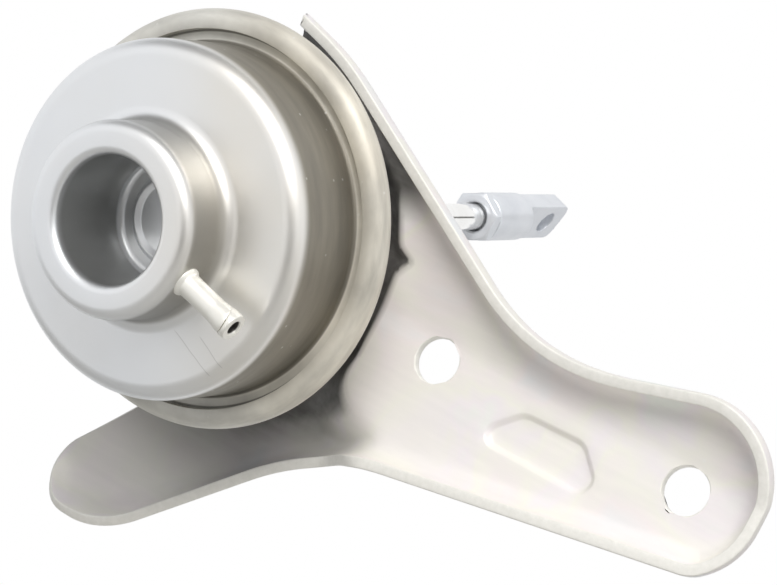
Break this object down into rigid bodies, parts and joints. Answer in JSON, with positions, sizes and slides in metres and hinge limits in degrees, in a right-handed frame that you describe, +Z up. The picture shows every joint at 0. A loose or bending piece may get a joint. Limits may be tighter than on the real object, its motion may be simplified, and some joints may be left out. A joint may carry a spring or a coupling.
{
  "type": "turbo wastegate actuator",
  "caption": "Pressure canister with a hose nipple and a spring-returned push rod with a drilled paddle end, carried on a stamped sheet bracket with a bolted arm and a curled wing.",
  "frame": {"origin": "a point on the back of the bracket's arm, the face that is bolted down, beside the bolt hole nearer the canister", "axes": "+Y along the rod, out of the canister's back; the canister's face looks along -Y; +Z up in the picture; +X towards the end of the arm"},
  "size_m": [0.147, 0.1627, 0.0972],
  "materials": {
    "zinc_plate": "bright zinc plate with a faint yellow passivation",
    "passivated_sheet": "zinc plate, clear passivation with faint interference colours",
    "polished_steel": "ground and polished",
    "matt_zinc": "matt blue-grey zinc plate",
    "spring_steel": "oiled spring wire",
    "sintered_bronze": "sintered",
    "diaphragm_rubber": "fabric-backed rubber"
  },
  "bodies": {
    "housing": {"front_cover": "zinc_plate", "hose_nipple": "matt_zinc", "rear_shell": "zinc_plate", "diaphragm": "diaphragm_rubber", "return_spring": "spring_steel", "spring_seat": "matt_zinc", "guide_bush": "sintered_bronze", "bush_clip": "matt_zinc", "bracket": "passivated_sheet", "stud_1": "matt_zinc", "stud_2": "matt_zinc", "lock_washer_1": "matt_zinc", "lock_washer_2": "matt_zinc", "stud_nut_1": "matt_zinc", "stud_nut_2": "matt_zinc"},
    "rod_set": {"rod": "polished_steel", "piston_cup": "zinc_plate", "diaphragm_plate": "zinc_plate", "piston_washer": "zinc_plate", "jam_nut": "matt_zinc", "rod_end": "matt_zinc"}
  },
  "joints": [
    {"name": "rod_slide", "type": "slide", "parent": "housing", "child": "rod_set", "axis": [0, 1, 0], "range_m": [0, 0.01], "stiffness_N_per_m": 2000, "deforming": ["return_spring", "diaphragm"]}
  ]
}
